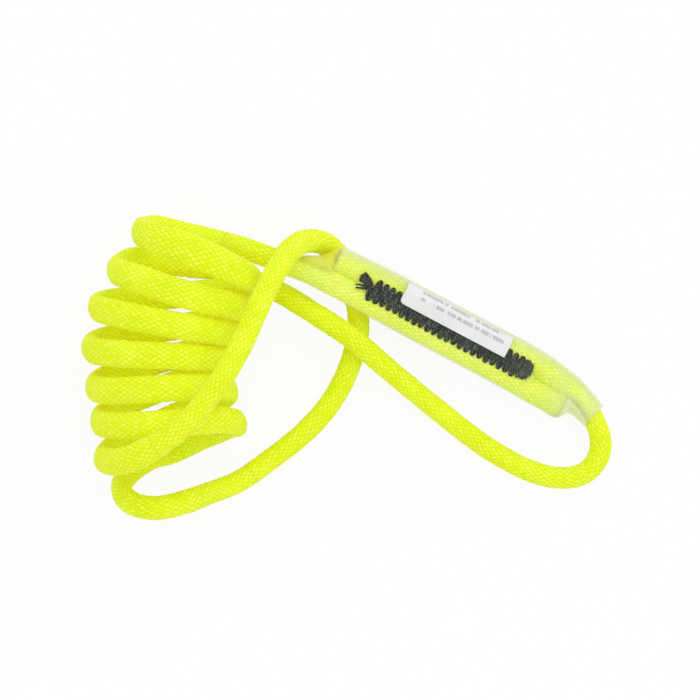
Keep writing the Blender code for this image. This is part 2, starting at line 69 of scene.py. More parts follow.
route = {
    "shortLead": [(-24.2, 29.7, 11), (-28.6, 31.2, 7.6)],
    "intoFirstTurn": [(-33, 32.3, 4.3), (-37.4, 33.4, 2.5), (-41.8, 34.4, 2.2), (-45.9, 35.2, 3.9),
        (-49.6, 35.7, 8.2), (-51.9, 35.1, 13.8)],
    "outOfLastTurn": [(-61.1, -23.4, 27.2), (-58.6, -23.7, 33.4), (-54.5, -23, 38.6), (-49.8, -20.9, 41.9)],
    "bight": [(-44.6, -17.8, 43.7), (-38.8, -13, 44.3), (-34.5, -7.8, 44), (-30.5, -2.2, 43.1),
        (-26.9, 4, 41.7), (-24, 10.3, 39.4), (-21.7, 15.8, 36.5), (-19.2, 21.4, 31.6), (-16.9, 25.8, 26.6),
        (-15.1, 28.7, 22), (-12.7, 31.1, 16.8), (-9.3, 32.4, 11), (-5.6, 31.6, 6.5), (-2.6, 29, 4),
        (-0.5, 25.3, 3.05), (1.3, 20.7, 2.8), (2.7, 15.2, 2.8), (3, 9.7, 2.8), (1.9, 4, 2.8),
        (0, -1.6, 2.8), (-3.2, -7.8, 2.8), (-8, -14, 2.85), (-14.3, -19.9, 3.2), (-21.5, -25.3, 4.3)],
    "intoEighthTurn": [(-28.4, -29.9, 6.8), (-34.8, -32.3, 10.8), (-39.5, -33.9, 16.5),
        (-43.8, -35.1, 20.8), (-48.7, -35.8, 22.1), (-53.2, -35.2, 20.8), (-56.2, -33.7, 17.9),
        (-57.8, -31.2, 13.2), (-57.1, -28.7, 7.7), (-54.3, -26.1, 4.1), (-51, -24, 2.5),
        (-45.6, -21.9, 2.2), (-39.2, -18.9, 3.2), (-33.4, -16.5, 6.8), (-29.4, -14.8, 12.6)],
    "outOfSecondTurn": [(-58.3, 25.6, 14.4), (-56.2, 27.1, 9.8), (-52.4, 27.6, 5.8), (-47.4, 27.2, 3.2),
        (-42.6, 26.7, 2.35), (-38.4, 26.1, 2.6)],
    "longLead": [(-33.8, 25.5, 3), (-25.8, 22.9, 3.1), (-17.2, 19.1, 4.4), (-9.3, 14.3, 6.9),
        (-1.8, 9.5, 8.6), (2.9, 6, 8.75), (9.8, 0.1, 6.9), (17.6, -6.4, 4.3), (25.5, -12.8, 3),
        (33.2, -18.8, 2.8), (41, -23.9, 2.8), (48.8, -27.5, 2.8), (56, -28.9, 2.8), (61.3, -27.8, 2.8),
        (64.7, -24.5, 2.8), (65.9, -20.6, 2.8)],
    "leftSides": [(-52.3, 34.5), (-58.7, 24.6), (-63.4, 15.3), (-65.1, 5.1), (-64.2, -4.9), (-63, -13.5),
        (-61.9, -22.9)],
    "rightSides": [(-23.8, 22.2), (-25.7, 14.2), (-28.1, 7.7), (-30.1, 1.6), (-30, -5.9), (-27.7, -14.2)],
    "lowerLeg": [(63.7, -3.7), (57, -3.6), (50, -3.3), (42, -3.1), (15, -3.1), (-5, -3.1), (-10.5, -3.4),
        (-16, -4.05)],
    "upperLeg": [(70.8, -1.5), (69.3, -0.4), (67.3, 0.55), (64.6, 1.45), (61, 2.3), (56, 2.85), (50, 3.1),
        (30, 3.1), (10, 3.1), (-7, 3.1)],
}

route = {key: metres(points) for key, points in route.items()}

# The windings' turns: their axis, their height, and where their middle lies a little high or low
winding = {"axisHeight": 0.020, "turnHeight": 0.0356, "pointsPerTurn": 12,
           "humps": {1: [(1.38, 0.0016, 0.26), (1.80, -0.0005, 0.13), (2.0, 0.0003, 0.10),
                         (2.5, -0.0005, 0.3), (3.30, 0.0009, 0.25), (4.5, -0.0003, 0.3),
                         (5.45, 0.0003, 0.25), (6.5, 0.0006, 0.3)],
                     2: [(2.26, 0.0011, 0.20), (2.66, -0.0005, 0.25), (3.0, 0.0004, 0.10),
                         (3.5, -0.0005, 0.3), (4.40, 0.0007, 0.25), (5.5, 0.0003, 0.3)]}}

# The part's own shift, which sets its footprint's middle on the origin
shift = (-0.00046, -0.00034)

# Middle of the open turn at each end of the windings, in x and z
turnMiddles = {"intoFirstTurn": (-0.0381, 0.02), "outOfLastTurn": (-0.045, 0.02),
               "intoEighthTurn": (-0.049, 0.0121), "outOfSecondTurn": (-0.0416, 0.02)}

# Splice frame: u along the sleeve, v across it, n up through it
splice = {"place": (0.0018, 0.0221, 0.010559), "bearing": 27.8, "tilt": 5.8034}

spliceFrame = (Matrix.Translation(Vector(splice["place"]) + Vector((*shift, 0.0)))
               @ Matrix.Rotation(math.radians(-splice["bearing"]), 4, "Z")
               @ Matrix.Rotation(math.radians(splice["tilt"]), 4, "Y"))
spliceArray = np.array(spliceFrame)


def inSplice(points):
    # Points given as (u, v, n) become world points
    points = np.asarray(points, float)
    return points @ spliceArray[:3, :3].T + spliceArray[:3, 3]


def smoothCurve(knots, points):
    # Natural cubic spline through the points
    knots, points = np.asarray(knots, float), np.asarray(points, float)
    count, spans = len(knots), np.diff(knots)
    matrix, right = np.zeros((count, count)), np.zeros(points.shape)
    matrix[0, 0] = matrix[-1, -1] = 1.0
    slopes = np.diff(points, axis=0) / spans[:, None]
    for i in range(1, count - 1):
        matrix[i, i - 1:i + 2] = spans[i - 1], 2 * (spans[i - 1] + spans[i]), spans[i]
        right[i] = 6 * (slopes[i] - slopes[i - 1])
    bends = np.linalg.solve(matrix, right)

    def place(at):
        at = np.asarray(at, float)
        i = np.clip(np.searchsorted(knots, at) - 1, 0, count - 2)
        before, after = (at - knots[i])[..., None], (knots[i + 1] - at)[..., None]
        span = spans[i][..., None]
        cubic = (bends[i] * after ** 3 + bends[i + 1] * before ** 3) / (6 * span)
        return (cubic + (points[i] / span - bends[i] * span / 6) * after
                + (points[i + 1] / span - bends[i + 1] * span / 6) * before)

    return place


def unit(values):
    return np.clip(values, 0, 1)


def eased(share):
    return share * share * (3 - 2 * share)


def directions(vectors):
    return vectors / np.linalg.norm(vectors, axis=-1, keepdims=True)


def chordKnots(points):
    steps = np.linalg.norm(np.diff(np.asarray(points, float), axis=0), axis=1)
    return np.concatenate([[0.0], np.cumsum(steps)])


cordDiameter = 0.0055

# Section of the cord: half widths across and through, how far its thin side leans at the right of the
# windings, in degrees, and the parts of a turn over which it is wider
section = {"round": (0.00277, 0.00270), "bent": (0.00298, 0.00258), "wound": (0.00335, 0.00222),
           "spread": (0.00356, 0.00214), "broad": (0.00410, 0.00205), "pressed": (0.00310, 0.00205),
           "fused": (0.00325, 0.00215), "narrow": (0.00250, 0.00265), "roll": 14.0,
           "spreadTurn": (0.10, 0.5), "broadTurn": (0.22, 0.5)}


def strandKnots(start, turns):
    lefts = smoothCurve(range(1, len(route["leftSides"]) + 1), route["leftSides"])
    rights = smoothCurve(range(1, len(route["rightSides"]) + 1), route["rightSides"])
    steps = round(turns * winding["pointsPerTurn"])
    knots = []
    for k in range(steps + 1):
        along = turns * k / steps
        bend = start + 2 * along
        swing = (1 - math.cos(2 * math.pi * along)) / 2
        left, right = lefts(bend), rights(bend - 1)
        x, y = left * (1 - swing) + right * swing
        for at, height, width in winding["humps"][start]:
            y += height * math.exp(-((bend - at) / width) ** 2)
        turn = 2 * math.pi * along
        z = winding["axisHeight"] + winding["turnHeight"] / 2 * math.sin(turn)
        roll = math.radians(section["roll"]) * swing
        guide = (-math.cos(turn) * math.cos(roll), math.sin(roll), math.sin(turn) * math.cos(roll))
        broad, spread = (low < along < high for low, high in (section["broadTurn"], section["spreadTurn"]))
        kind = "broad" if start == 1 and broad else "spread" if spread else "wound"
        knots.append(((x, y, z), guide, kind))
    return knots


def openTurn(points, middle, kind):
    # The thin side looks away from the middle of the turn
    return [(p, (p[0] - middle[0], 0.0, p[2] - middle[1]), kind) for p in points]


def cordKnots():
    # The whole cord in order, from the lower leg's tip to the upper leg's
    up, across = (0.0, 0.0, 1.0), tuple(spliceArray[:3, 2])
    back = (-shift[0], -shift[1], 0.0)
    lower = [tuple(inSplice((u, v, 0.0)) + back) for u, v in route["lowerLeg"]]
    upper = [tuple(inSplice((u, v, 0.0)) + back) for u, v in route["upperLeg"]]
    first, last, eighth, second = (route[key] for key in turnMiddles)
    intoFirst, outOfLast, intoEighth, outOfSecond = turnMiddles.values()
    return [
        ("splice_lower", [(p, across, "pressed" if k < 6 else "round") for k, p in enumerate(lower)]),
        ("short_lead", [(p, up, "round") for p in route["shortLead"]]),
        ("winding_one", openTurn(first[:3], intoFirst, "bent") + openTurn(first[3:], intoFirst, "wound")
         + strandKnots(1, 3.0) + openTurn(last, outOfLast, "wound")),
        ("bight", [(p, up, "bent" if 8 <= k < 14 else "round") for k, p in enumerate(route["bight"])]),
        ("winding_two", [(p, up, "round" if k < 2 else "bent") for k, p in enumerate(eighth[:5])]
         + openTurn(eighth[5:8], intoEighth, "bent") + openTurn(eighth[8:11], intoEighth, "round")
         + openTurn(eighth[11:], outOfLast, "wound") + strandKnots(2, 2.5)[::-1]
         + openTurn(second, outOfSecond, "wound")),
        ("long_lead", [(p, up, "round") for p in route["longLead"]]),
        ("splice_upper", [(p, across, "narrow" if k < 4 else "fused" if k < 6 else "pressed")
                          for k, p in enumerate(upper)]),
    ]


# Braid: fourteen strands wind each way, one over and one under
braid = {"strands": 14, "pitch": 0.00197, "fine": 4, "low": -0.00016, "high": 0.00010, "halfStrand": 0.60,
         "crown": 0.58, "over": 0.42, "wander": 0.12, "uneven": 0.25, "resting": 0.00025, "seed": 11,
         "swells": ((0.012, 0.011, 3), (0.006, 0.004, 4)), "guideReach": 18, "halvesReach": 14,
         "tipRoom": 0.0003, "taper": 0.17, "taperRun": 0.0022, "meltRun": 0.0008, "pathRows": 6}
braidColumns = braid["strands"] * braid["fine"]


def cordLine():
    # The cord's curve, with its guides and sections, and where the part's stretches begin on it
    knots, marks = [], {}
    for name, stretch in cordKnots():
        marks[name] = (len(knots), len(knots) + len(stretch) - 1)
        knots += stretch
    places = np.array([k[0] for k in knots]) + (*shift, 0.0)
    guides = np.array([np.array(k[1]) / np.linalg.norm(k[1]) for k in knots])
    halves = np.array([section[k[2]] for k in knots])
    for k in range(1, len(guides)):
        if guides[k] @ guides[k - 1] < 0:
            guides[k] = -guides[k]
    chords = chordKnots(places)
    curve = smoothCurve(chords, places)
    fine = np.linspace(0.0, chords[-1], int(chords[-1] / 0.0001))
    arcs = chordKnots(curve(fine))
    names = list(marks)
    cuts = [braid["tipRoom"]]
    for name, after in zip(names, names[1:]):
        first, last = chords[marks[name][1]], chords[marks[after][0]]
        at = first if name == "splice_lower" else last if after == "splice_upper" else (first + last) / 2
        cuts.append(float(np.interp(at, fine, arcs)))
    cuts.append(float(arcs[-1]) - braid["tipRoom"])
    return dict(curve=curve, chords=chords, fine=fine, arcs=arcs, guides=guides, halves=halves,
                cuts=cuts, names=names, length=float(arcs[-1]))


def softened(values, reach):
    # Running mean along the rows, with the ends held
    kernel = np.hanning(2 * reach + 3)[1:-1]
    kernel /= kernel.sum()
    padded = np.pad(values, ((reach, reach), (0, 0)), mode="edge")
    return np.stack([np.convolve(padded[:, k], kernel, mode="valid") for k in range(values.shape[1])], axis=1)


def cordRows(line):
    # Middle, frame and half widths of the cord at every row of its braid
    step = braid["pitch"] / (2 * braid["fine"])
    count = int(line["length"] / step)
    along = np.arange(count) * step
    at = np.interp(along, line["arcs"], line["fine"])
    middle = line["curve"](at)
    tangent = directions(np.gradient(middle, axis=0))
    guide = np.stack([np.interp(at, line["chords"], line["guides"][:, k]) for k in range(3)], axis=1)
    halves = np.stack([np.interp(at, line["chords"], line["halves"][:, k]) for k in range(2)], axis=1)
    guide, halves = softened(guide, braid["guideReach"]), softened(halves, braid["halvesReach"])
    swell = 1.0
    for size, run, seed in braid["swells"]:
        swell = swell + size * drift(along / run, seed)
    ends = np.minimum(along, line["length"] - along) - braid["tipRoom"]
    taper = 1 - braid["taper"] * unit(1 - ends / braid["taperRun"]) ** 2
    halves = halves * swell[:, None] * taper[:, None]
    guide = directions(guide - np.sum(guide * tangent, axis=1)[:, None] * tangent)
    return dict(step=step, along=along, ends=ends, middle=middle, tangent=tangent, guide=guide,
                side=np.cross(guide, tangent), halves=halves)


def drift(at, seed):
    # Smooth random wandering between -1 and 1
    values = np.random.default_rng(seed).uniform(-1, 1, int(at.max()) + 3)
    low = np.floor(at).astype(int)
    share = eased(at - low)
    return values[low] * (1 - share) + values[low + 1] * share


def patchy(xi, sigma, seed):
    # The same over the cord's skin, without a seam round it
    strands = braid["strands"]
    table = np.random.default_rng(seed).uniform(-1, 1, (int(xi.max()) + 3, strands))
    i, j = np.floor(xi).astype(int), np.floor(sigma).astype(int)
    a, b = eased(xi - i), eased(sigma - j)
    j, after = j % strands, (j + 1) % strands
    return ((table[i, j] * (1 - b) + table[i, after] * b) * (1 - a)
            + (table[i + 1, j] * (1 - b) + table[i + 1, after] * b) * a)


def strandHeight(p, q):
    # Height of the braid where strand lines p and q cross: 1 on a crest, near 0 in a groove
    best = np.full(p.shape, -1.0)
    for value, other, sign in ((p, q, 1.0), (q, p, -1.0)):
        for index in (np.floor(value), np.floor(value) + 1):
            off = np.abs(value - index) / braid["halfStrand"]
            crown = unit(1 - off ** 2.2) ** 0.75 * braid["crown"]
            lift = sign * braid["over"] * np.cos(math.pi * (other + index))
            best = np.maximum(best, np.where(off < 1, crown + lift, -1.0))
    return unit(best)


def addSurface(rows):
    # The whole braided surface, row by row: its points, faces and normals
    strands, fine = braid["strands"], braid["fine"]
    r = np.arange(len(rows["along"]))[:, None]
    sigma = np.arange(braidColumns)[None, :] / fine + (r % 2) / (2 * fine)
    xi = r / (2 * fine) + 0 * sigma
    height = strandHeight(sigma - xi, sigma + xi)
    height = height * (1 + braid["uneven"] * patchy(xi, sigma, braid["seed"]))
    wide, thick = rows["halves"][:, :1], rows["halves"][:, 1:]
    around = sigma + braid["wander"] * patchy(xi, sigma, braid["seed"] + 1)
    ahead = braid["pitch"] * braid["wander"] * patchy(xi, sigma, braid["seed"] + 2)
    theta = 2 * math.pi * around / strands
    uneven = (wide ** 2 - thick ** 2) / (2 * (wide ** 2 + thick ** 2))
    phi = theta + uneven / 2 * np.sin(2 * theta)
    cosine, sine = np.cos(phi), np.sin(phi)
    out = directions(np.stack([cosine / wide, sine / thick], axis=2))
    relief = braid["low"] + (braid["high"] - braid["low"]) * height
    across = wide * cosine + relief * out[:, :, 0]
    through = thick * sine + relief * out[:, :, 1]
    points = (rows["middle"][:, None] + across[:, :, None] * rows["side"][:, None]
              + through[:, :, None] * rows["guide"][:, None] + ahead[:, :, None] * rows["tangent"][:, None])
    # Where the cord rests on the table its skin presses flat
    rise = points[:, :, 2]
    points[:, :, 2] = (rise + np.sqrt(rise ** 2 + braid["resting"] ** 2)) / 2
    quads = quadIndexes(*sigma.shape)
    rows.update(points=points, sigma=sigma, crowd=crowding(rows), quads=quads,
                normals=surfaceNormals(points, quads))


# How crowding is counted: in steps of so many rows, only for cord that lies further off than this along
# its length, and never as if it were nearer than this
neighbours = {"rows": 6, "skinRows": 4, "apart": 0.009, "nearest": 0.0024}


def crowding(rows):
    # Share of its view that other parts of the cord take from each bit of skin, which sets where shade is
    # painted
    count, strands, spacing = len(rows["along"]), braid["strands"], neighbours["skinRows"]
    picked = np.arange(0, count, neighbours["rows"])
    others, place = rows["middle"][picked], rows["along"][picked]
    some = np.arange(0, count + spacing, spacing).clip(0, count - 1)
    size = cordDiameter * neighbours["rows"] * rows["step"]
    shares = np.zeros((len(some), strands))
    apart = np.abs(rows["along"][some][:, None] - place[None]) > neighbours["apart"]
    for k, angle in enumerate(2 * math.pi * np.arange(strands) / strands):
        out = rows["side"][some] * math.cos(angle) + rows["guide"][some] * math.sin(angle)
        skin = rows["middle"][some] + out * cordDiameter / 2
        way = others[None] - skin[:, None]
        far = np.maximum(np.linalg.norm(way, axis=2), neighbours["nearest"])
        facing = unit(np.einsum("ijk,ik->ij", way, out) / far)
        shares[:, k] = np.sum(np.where(apart, facing * size / (math.pi * far ** 2), 0.0), axis=1)
    # Back to every row and column of the skin
    at = np.arange(count) / spacing
    low = np.floor(at).astype(int)
    along = shares[low] + (shares[np.minimum(low + 1, len(some) - 1)] - shares[low]) * (at - low)[:, None]
    turn = np.arange(braidColumns) / braid["fine"]
    first = np.floor(turn).astype(int)
    return along[:, first] + (along[:, (first + 1) % strands] - along[:, first]) * (turn - first)


def quadIndexes(count, columns):
    # Faces stand on a corner, so that their edges run along the strands
    r, c = np.arange(count - 2)[:, None], np.arange(columns)[None, :]
    right, left = ((r + 1) * columns + (c + r % 2 - side) % columns for side in (0, 1))
    return np.stack([r * columns + c, right, (r + 2) * columns + c, left], axis=2)


def surfaceNormals(points, quads):
    flat, faces = points.reshape(-1, 3), quads.reshape(-1, 4)
    normal = np.cross(flat[faces[:, 2]] - flat[faces[:, 0]], flat[faces[:, 3]] - flat[faces[:, 1]])
    total = np.zeros_like(flat)
    for k in range(4):
        np.add.at(total, faces[:, k], normal)
    return total / np.maximum(np.linalg.norm(total, axis=1), 1e-20)[:, None]


def finishMesh(name, mesh, material):
    mesh.materials.append(material)
    piece = addObject(name, mesh)
    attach(piece, "root")
    return piece


# Room round each row of the cord's skin in its square, and the part of the square that is used
bake = {"margin": 0.0006, "inside": (0.0005, 0.9995)}


def bakeUvs(sigmas, alongs, start, end):
    # The piece's skin is cut into rows that fill a square
    girth, margin = math.pi * cordDiameter, bake["margin"]
    count = max(1, round(math.sqrt((end - start) / girth)))
    run = (end - start) / count
    row = np.clip(np.floor((alongs.mean(axis=1) - start) / run), 0, count - 1)[:, None]
    u = (alongs - start - row * run + margin) / (run + 2 * margin)
    v = (row + (sigmas / braid["strands"] * girth + margin) / (girth + 2 * margin)) / count
    return np.clip(np.stack([u, v], axis=2), *bake["inside"])


# Where the sleeve begins on each cord that it covers, where it ends, and how soon it shows
covering = {"from": {"cord_lower_splice_and_short_lead": -0.0158, "cord_upper_splice": -0.0070},
            "to": 0.0722, "fade": 0.0006}


def makeCordPiece(name, rows, first, last, material):
    # The skin from the first row to the last, with what its material and its baking need
    strands, columns = braid["strands"], braidColumns
    block = rows["points"][first:last + 2].reshape(-1, 3)
    faces = rows["quads"][first:last].reshape(-1, 4)
    # Place of each corner on the braid, carried on past the last column so that no face stretches back
    r = np.arange(first, last)[:, None] + 0 * np.arange(columns)[None, :]
    base, half = rows["sigma"][first:last], 1 / (2 * braid["fine"])
    sigmas = np.stack([base, base + half, base, base - half], axis=2).reshape(-1, 4)
    sides = np.stack([r, r + 1, r + 2, r + 1], axis=2).reshape(-1, 4) * half
    p, q = sigmas - sides, sigmas + sides
    pMiddle, qMiddle = p.mean(axis=1, keepdims=True), q.mean(axis=1, keepdims=True)
    i, j = np.round(pMiddle), np.round(qMiddle)
    over = (i + j) % 2 == 0
    across = np.where(over, p - i, q - j)
    lengthwise = np.where(over, q - j, p - i)
    mark = np.where(over, (i % strands) + 0.37 * (j % 97), 40 + (j % strands) + 0.53 * (i % 89)) + 0 * p
    mesh = bpy.data.meshes.new(name)
    local = (faces - first * columns).tolist() + capFans(first, last, columns)
    block = np.vstack([block, rows["middle"][first:first + 1], rows["middle"][last + 1:last + 2]])
    mesh.from_pydata(block.tolist(), [], local)
    total, corners = len(mesh.loops), faces.size
    weave = np.zeros((total, 3), np.float32)
    weave[:corners] = np.stack([across, lengthwise, mark], axis=2).reshape(-1, 3)
    mesh.attributes.new("weave", "FLOAT_VECTOR", "CORNER").data.foreach_set("vector", weave.ravel())
    uvs = np.zeros((total, 2), np.float32)
    uvs[:corners] = bakeUvs(sigmas, sides * braid["pitch"], rows["along"][first],
                            rows["along"][last]).reshape(-1, 2)
    mesh.uv_layers.new(name="OFBake").data.foreach_set("uv", uvs.ravel())
    heat = np.repeat(np.exp(-rows["ends"][first:last + 2] / braid["meltRun"]), columns)
    covered = np.zeros(len(block))
    if name in covering["from"]:
        u = (block - spliceArray[:3, 3]) @ spliceArray[:3, 0]
        covered = (unit((u - covering["from"][name]) / covering["fade"])
                   * unit((covering["to"] - u) / covering["fade"]))
    crowd = rows["crowd"][first:last + 2].ravel()
    for key, values in (("heat", heat), ("covered", covered), ("crowd", crowd)):
        full = np.append(values, [0.0] * (len(block) - len(values)))
        mesh.attributes.new(key, "FLOAT", "POINT").data.foreach_set("value", full.astype(np.float32))
    mesh.shade_smooth()
    ways = np.vstack([rows["normals"][first * columns:(last + 2) * columns],
                      -rows["tangent"][first:first + 1], rows["tangent"][last + 1:last + 2]])
    mesh.normals_split_custom_set_from_vertices(ways.tolist())
    return finishMesh(name, mesh, material)


def capFans(first, last, columns):
    # Closed ends, hidden against the next piece: each is a fan round the cord's middle
    rows = last + 2 - first
    faces = []
    ends = ((1, 0, 1 - first % 2, rows * columns), (rows - 2, rows - 1, last % 2, rows * columns + 1))
    for low, high, odd, middle in ends:
        for c in range(columns):
            inner, outer = low * columns + c, high * columns + (c + odd) % columns
            before = high * columns + (c + odd - 1) % columns
            faces += [[inner, outer, middle], [before, inner, middle]]
    return [face[::-1] for face in faces[:2 * columns]] + faces[2 * columns:]


# Materials


class Nodes:
    # Short ways to add and join shader nodes. A value is a number, a colour or the output of a node
    def __init__(self, owner, shader="Principled BSDF"):
        owner.use_nodes = True
        self.owner, self.tree = owner, owner.node_tree
        self.shader = self.tree.nodes[shader]

    def put(self, value, socket):
        if isinstance(value, bpy.types.NodeSocket):
            self.tree.links.new(value, socket)
        else:
            socket.default_value = (*value, 1.0) if socket.type == "RGBA" else value

    def add(self, kind, values=(), **settings):
        # The values go to the first sockets, or to those that a dictionary names
        node = self.tree.nodes.new(kind)
        for key, value in settings.items():
            setattr(node, key, value)
        for key, value in (values.items() if isinstance(values, dict) else enumerate(values)):
            self.put(value, node.inputs[key])
        return node

    def set(self, **values):
        for key, value in values.items():
            self.put(value, self.shader.inputs[key.replace("_", " ")])

    def math(self, operation, *values, clamp=False):
        return self.add("ShaderNodeMath", values, operation=operation, use_clamp=clamp).outputs[0]

    def times(self, first, second, clamp=False):
        return self.math("MULTIPLY", first, second, clamp=clamp)

    def plus(self, first, second, clamp=False):
        return self.math("ADD", first, second, clamp=clamp)

    def attribute(self, name, output="Fac"):
        return self.add("ShaderNodeAttribute", attribute_name=name).outputs[output]

    def split(self, vector):
        return self.add("ShaderNodeSeparateXYZ", [vector]).outputs

    def combine(self, *parts):
        return self.add("ShaderNodeCombineXYZ", parts).outputs[0]

    def noise(self, scale, detail=2.0, roughness=0.5, vector=None):
        # Follows the object unless another vector is given
        place = vector or self.add("ShaderNodeTexCoord").outputs["Object"]
        values = {"Vector": place, "Scale": scale, "Detail": detail, "Roughness": roughness}
        return self.add("ShaderNodeTexNoise", values).outputs["Fac"]

    def ramp(self, factor, stops):
        node = self.add("ShaderNodeValToRGB", [factor])
        while len(node.color_ramp.elements) < len(stops):
            node.color_ramp.elements.new(0.5)
        for element, (place, colour) in zip(node.color_ramp.elements, stops):
            element.position = place
            element.color = (*colour, 1.0)
        return node.outputs["Color"]

    def mix(self, factor, first, second):
        node = self.add("ShaderNodeMix", data_type="RGBA")
        for value, socket in zip((factor, first, second), [s for s in node.inputs if s.enabled]):
            self.put(value, socket)
        return [s for s in node.outputs if s.enabled][0]

    def fade(self, value, start, end):
        # 1 up to start, then smoothly down to 0 at end
        values = {"Value": value, "From Min": start, "From Max": end, "To Min": 1.0, "To Max": 0.0}
        return self.add("ShaderNodeMapRange", values, interpolation_type="SMOOTHSTEP").outputs["Result"]

    def bump(self, height, distance, strength):
        node = self.add("ShaderNodeBump", {"Height": height, "Distance": distance, "Strength": strength})
        self.set(Normal=node.outputs["Normal"])


def newMaterial(name):
    return Nodes(bpy.data.materials.new(name))


# Colours from the grooves to the crests, with painted shade in the grooves and a painted highlight on the
# crests:
# in the light, in painted golden shade where the cord looks at itself, and under the sleeve, each with its
# place on the scale; the glow is a painted glow that lifts and warms the shade
cordColours = {"lit": [(0.0, (0.54, 0.66, 0.001)), (0.36, (0.68, 0.84, 0.006)), (0.90, (0.86, 1.0, 0.16))],
               "deep": [(0.0, (0.54, 0.50, 0.0)), (0.36, (0.80, 0.76, 0.0)), (0.95, (0.93, 0.93, 0.10))],
               "clung": [(0.12, (0.62, 0.76, 0.05)), (0.80, (0.86, 0.99, 0.40))],
               "melt": (0.72, 0.50, 0.02), "glow": (0.93, 0.80, 0.0), "paintedGlowStrength": 0.13}


def cordMaterial():
    n = newMaterial("cord_sheath")
    across, along, mark = n.split(n.attribute("weave", "Vector"))
    fibres = n.combine(n.plus(n.times(across, 8.0), n.times(mark, 3.7)),
                       n.plus(n.times(along, 1.2), n.times(mark, 1.9)), mark)
    streak = n.noise(1.0, roughness=0.55, vector=fibres)
    # Painted highlight: a short bright dash along the top of each strand where it comes over, brighter on
    # some strands than on others at random
    sideways = n.fade(n.math("ABSOLUTE", across), 0.02, 0.36)
    endways = n.fade(n.math("ABSOLUTE", along), 0.12, 0.62)
    own = n.add("ShaderNodeTexWhiteNoise", {"W": n.times(n.math("ROUND", n.times(mark, 20.0)), 0.05)},
                noise_dimensions="1D")
    share = n.plus(0.15, n.times(own.outputs["Value"], 0.85))
    painted_highlight = n.times(n.times(sideways, endways), share)
    cloud = n.noise(110.0)
    level = n.plus(0.285, n.times(painted_highlight, 0.67))
    for part in (streak, cloud):
        level = n.plus(level, n.times(n.math("SUBTRACT", part, 0.5), 0.34))
    level = n.plus(level, 0.0, clamp=True)
    # Painted shade: golden and darker where other cord fills the skin's view, standing in for shade and for
    # the cord's own bounced light
    covered = n.attribute("covered")
    deep = n.times(n.math("SUBTRACT", n.attribute("crowd"), 0.62), 1.1)
    deep = n.times(n.math("MINIMUM", n.math("MAXIMUM", deep, 0.0), 0.55), n.math("SUBTRACT", 1.0, covered))
    colour = n.mix(deep, n.ramp(level, cordColours["lit"]), n.ramp(level, cordColours["deep"]))
    # Paler where the sleeve clings to it
    cling = n.times(covered, n.plus(0.45, n.times(cloud, 0.5)))
    colour = n.mix(cling, colour, n.ramp(level, cordColours["clung"]))
    heat = n.times(n.attribute("heat"), 0.85, clamp=True)
    n.bump(streak, 0.00006, 0.5)
    # The emission is a painted glow: it lifts and warms the shade, standing in for the dye's fluorescence
    n.set(Base_Color=n.mix(heat, colour, cordColours["melt"]), Roughness=n.plus(0.60, n.times(streak, 0.20)),
          Sheen_Weight=0.35, Sheen_Roughness=0.45, Sheen_Tint=(0.90, 1.0, 0.20), Specular_IOR_Level=0.22,
          Subsurface_Weight=0.30, Subsurface_Radius=(1.0, 0.75, 0.10), Subsurface_Scale=0.0022,
          Emission_Color=cordColours["glow"], Emission_Strength=cordColours["paintedGlowStrength"])
    return n.owner


# Pieces that the cord is cut into, each with its stretches of the part
cordStretches = [
    ("cord_lower_splice_and_short_lead", "loose", ["splice_lower", "short_lead"]),
    ("cord_winding_one", "coiled", ["winding_one"]),
    ("cord_bight", "loose", ["bight"]),
    ("cord_winding_two", "coiled", ["winding_two"]),
    ("cord_long_lead", "loose", ["long_lead"]),
    ("cord_upper_splice", "loose", ["splice_upper"]),
]


def makeCord():
    line = cordLine()
    rows = cordRows(line)
    addSurface(rows)
    material = cordMaterial()
    bounds = [int(round(cut / rows["step"])) for cut in line["cuts"]]
    bounds[-1] = min(bounds[-1], len(rows["along"]) - 3)
    for name, lay, nodes in cordStretches:
        kept = [line["names"].index(node) for node in nodes]
        first, last = bounds[kept[0]], bounds[kept[-1] + 1]
        piece = makeCordPiece(name, rows, first, last, material)
        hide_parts(*(f"{part}_{node}" for node in nodes for part in ("sheath", "core")))
    return line, rows


cordLineData, cordRowData = makeCord()
print("cord done, whole length", round(cordLineData["length"] * 1000, 1), "mm")


# Shapes made with bmesh: rings extruded from one circle, and a sheet laid out on a grid


def loftRings(shape, rings):
    count = len(rings[0])
    verts = list(bmesh.ops.create_circle(shape, segments=count, radius=1.0)["verts"])
    made = []
    for k, ring in enumerate(rings):
        if k:
            edges = [shape.edges.get(pair) for pair in zip(verts, verts[1:] + verts[:1])]
            grown = bmesh.ops.extrude_edge_only(shape, edges=edges)["geom"]
            fresh = {v for v in grown if isinstance(v, bmesh.types.BMVert)}
            verts = [next(e.other_vert(v) for e in v.link_edges if e.other_vert(v) in fresh) for v in verts]
        for vert, place in zip(verts, ring):
            vert.co = place
        made.append(verts)
    return made


def meshFrom(name, shape, outward=True):
    if outward:
        bmesh.ops.recalc_face_normals(shape, faces=shape.faces)
    mesh = bpy.data.meshes.new(name)
    shape.to_mesh(mesh)
    shape.free()
    mesh.shade_smooth()
    return mesh


# Melted tips: a low dome on each cut end

tips = {"lower": {"node": "fused_tip_lower", "atStart": True, "rise": 0.00085, "seed": 1},
        "upper": {"node": "fused_tip_upper", "atStart": False, "rise": 0.00080, "seed": 2}}
tipShape = {"segments": 44, "rings": 22, "proud": 0.00003, "fullness": 0.62, "sunk": 0.0004,
            "lump": 0.00010}


